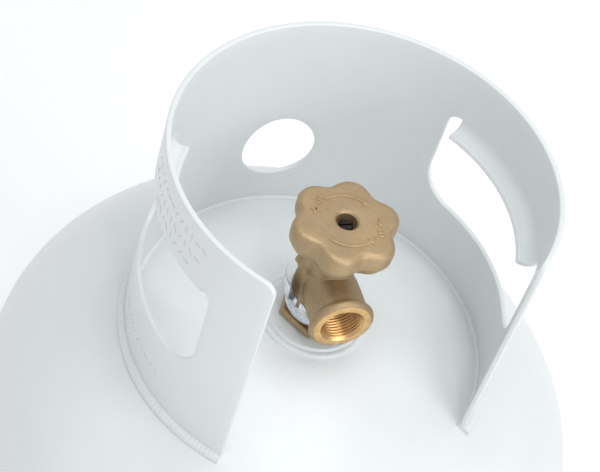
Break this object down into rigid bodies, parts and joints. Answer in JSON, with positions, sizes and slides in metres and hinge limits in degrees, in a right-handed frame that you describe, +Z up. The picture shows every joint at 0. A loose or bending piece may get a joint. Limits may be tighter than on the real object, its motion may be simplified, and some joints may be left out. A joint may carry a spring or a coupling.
{
  "type": "propane gas cylinder",
  "caption": "Steel gas cylinder with a welded C-shaped guard collar, foot ring and a brass handwheel valve with female outlet, relief valve and level bleed.",
  "frame": {"origin": "centre of the foot ring's underside, on the floor", "axes": "+Z up along the cylinder axis, -Y out of the valve outlet and the collar's open front"},
  "size_m": [0.3434, 0.3434, 0.457],
  "materials": {
    "paint": "semi-gloss",
    "brass_cast": "matt cast",
    "brass_machined": "machined",
    "bright_steel": "bright",
    "dark_steel": "dark",
    "rubber": "matt",
    "nylon": "matt",
    "sealant": "matt",
    "cap_plastic": "matt"
  },
  "bodies": {
    "cylinder": {"upper_shell": "paint", "lower_shell": "paint", "girth_weld": "paint", "valve_boss": "paint", "boss_weld": "paint", "collar": "paint", "collar_weld": "paint", "foot_ring": "paint", "foot_ring_weld": "paint", "valve_body": "brass_cast", "thread_sealant": "sealant", "neck_band": "bright_steel", "bonnet": "brass_machined", "bonnet_gasket": "rubber", "thrust_washer": "nylon", "relief_retainer": "brass_machined", "level_tube": "dark_steel"},
    "wheel": {"spindle": "brass_machined", "spindle_rings": "rubber", "handwheel": "brass_cast", "wheel_washer": "bright_steel", "wheel_screw": "dark_steel"},
    "plug": {"lower_plug": "brass_machined", "seat_disc": "nylon"},
    "relief": {"relief_poppet": "brass_machined", "relief_disc": "rubber", "relief_spring": "bright_steel"},
    "dust_cap": {"relief_cap": "cap_plastic"},
    "bleed": {"bleed_screw": "brass_machined"}
  },
  "joints": [
    {"name": "wheel_turn", "type": "hinge", "parent": "cylinder", "child": "wheel", "pos_m": [0, 0, 0.4], "axis": [0, 0, 1], "range_deg": [0, 1080]},
    {"name": "plug_lift", "type": "slide", "parent": "wheel", "child": "plug", "axis": [0, 0, 1], "range_m": [0, 0.00545]},
    {"name": "relief_open", "type": "slide", "parent": "cylinder", "child": "relief", "axis": [0.6428, 0.766, 0], "range_m": [0, 0.0018], "stiffness_N_per_m": 9000, "springref_m": -0.004, "deforming": ["relief_spring"]},
    {"name": "cap_pull", "type": "slide", "parent": "cylinder", "child": "dust_cap", "axis": [0.6428, 0.766, 0], "range_m": [0, 0.03]},
    {"name": "bleed_turn", "type": "hinge", "parent": "cylinder", "child": "bleed", "pos_m": [-0.00492, 0.01835, 0.358], "axis": [-0.2588, 0.9659, 0], "range_deg": [0, 540]}
  ],
  "couplings": [
    {"joint": "plug_lift", "follows": "wheel_turn", "m_per_rad": 0.0002887}
  ]
}
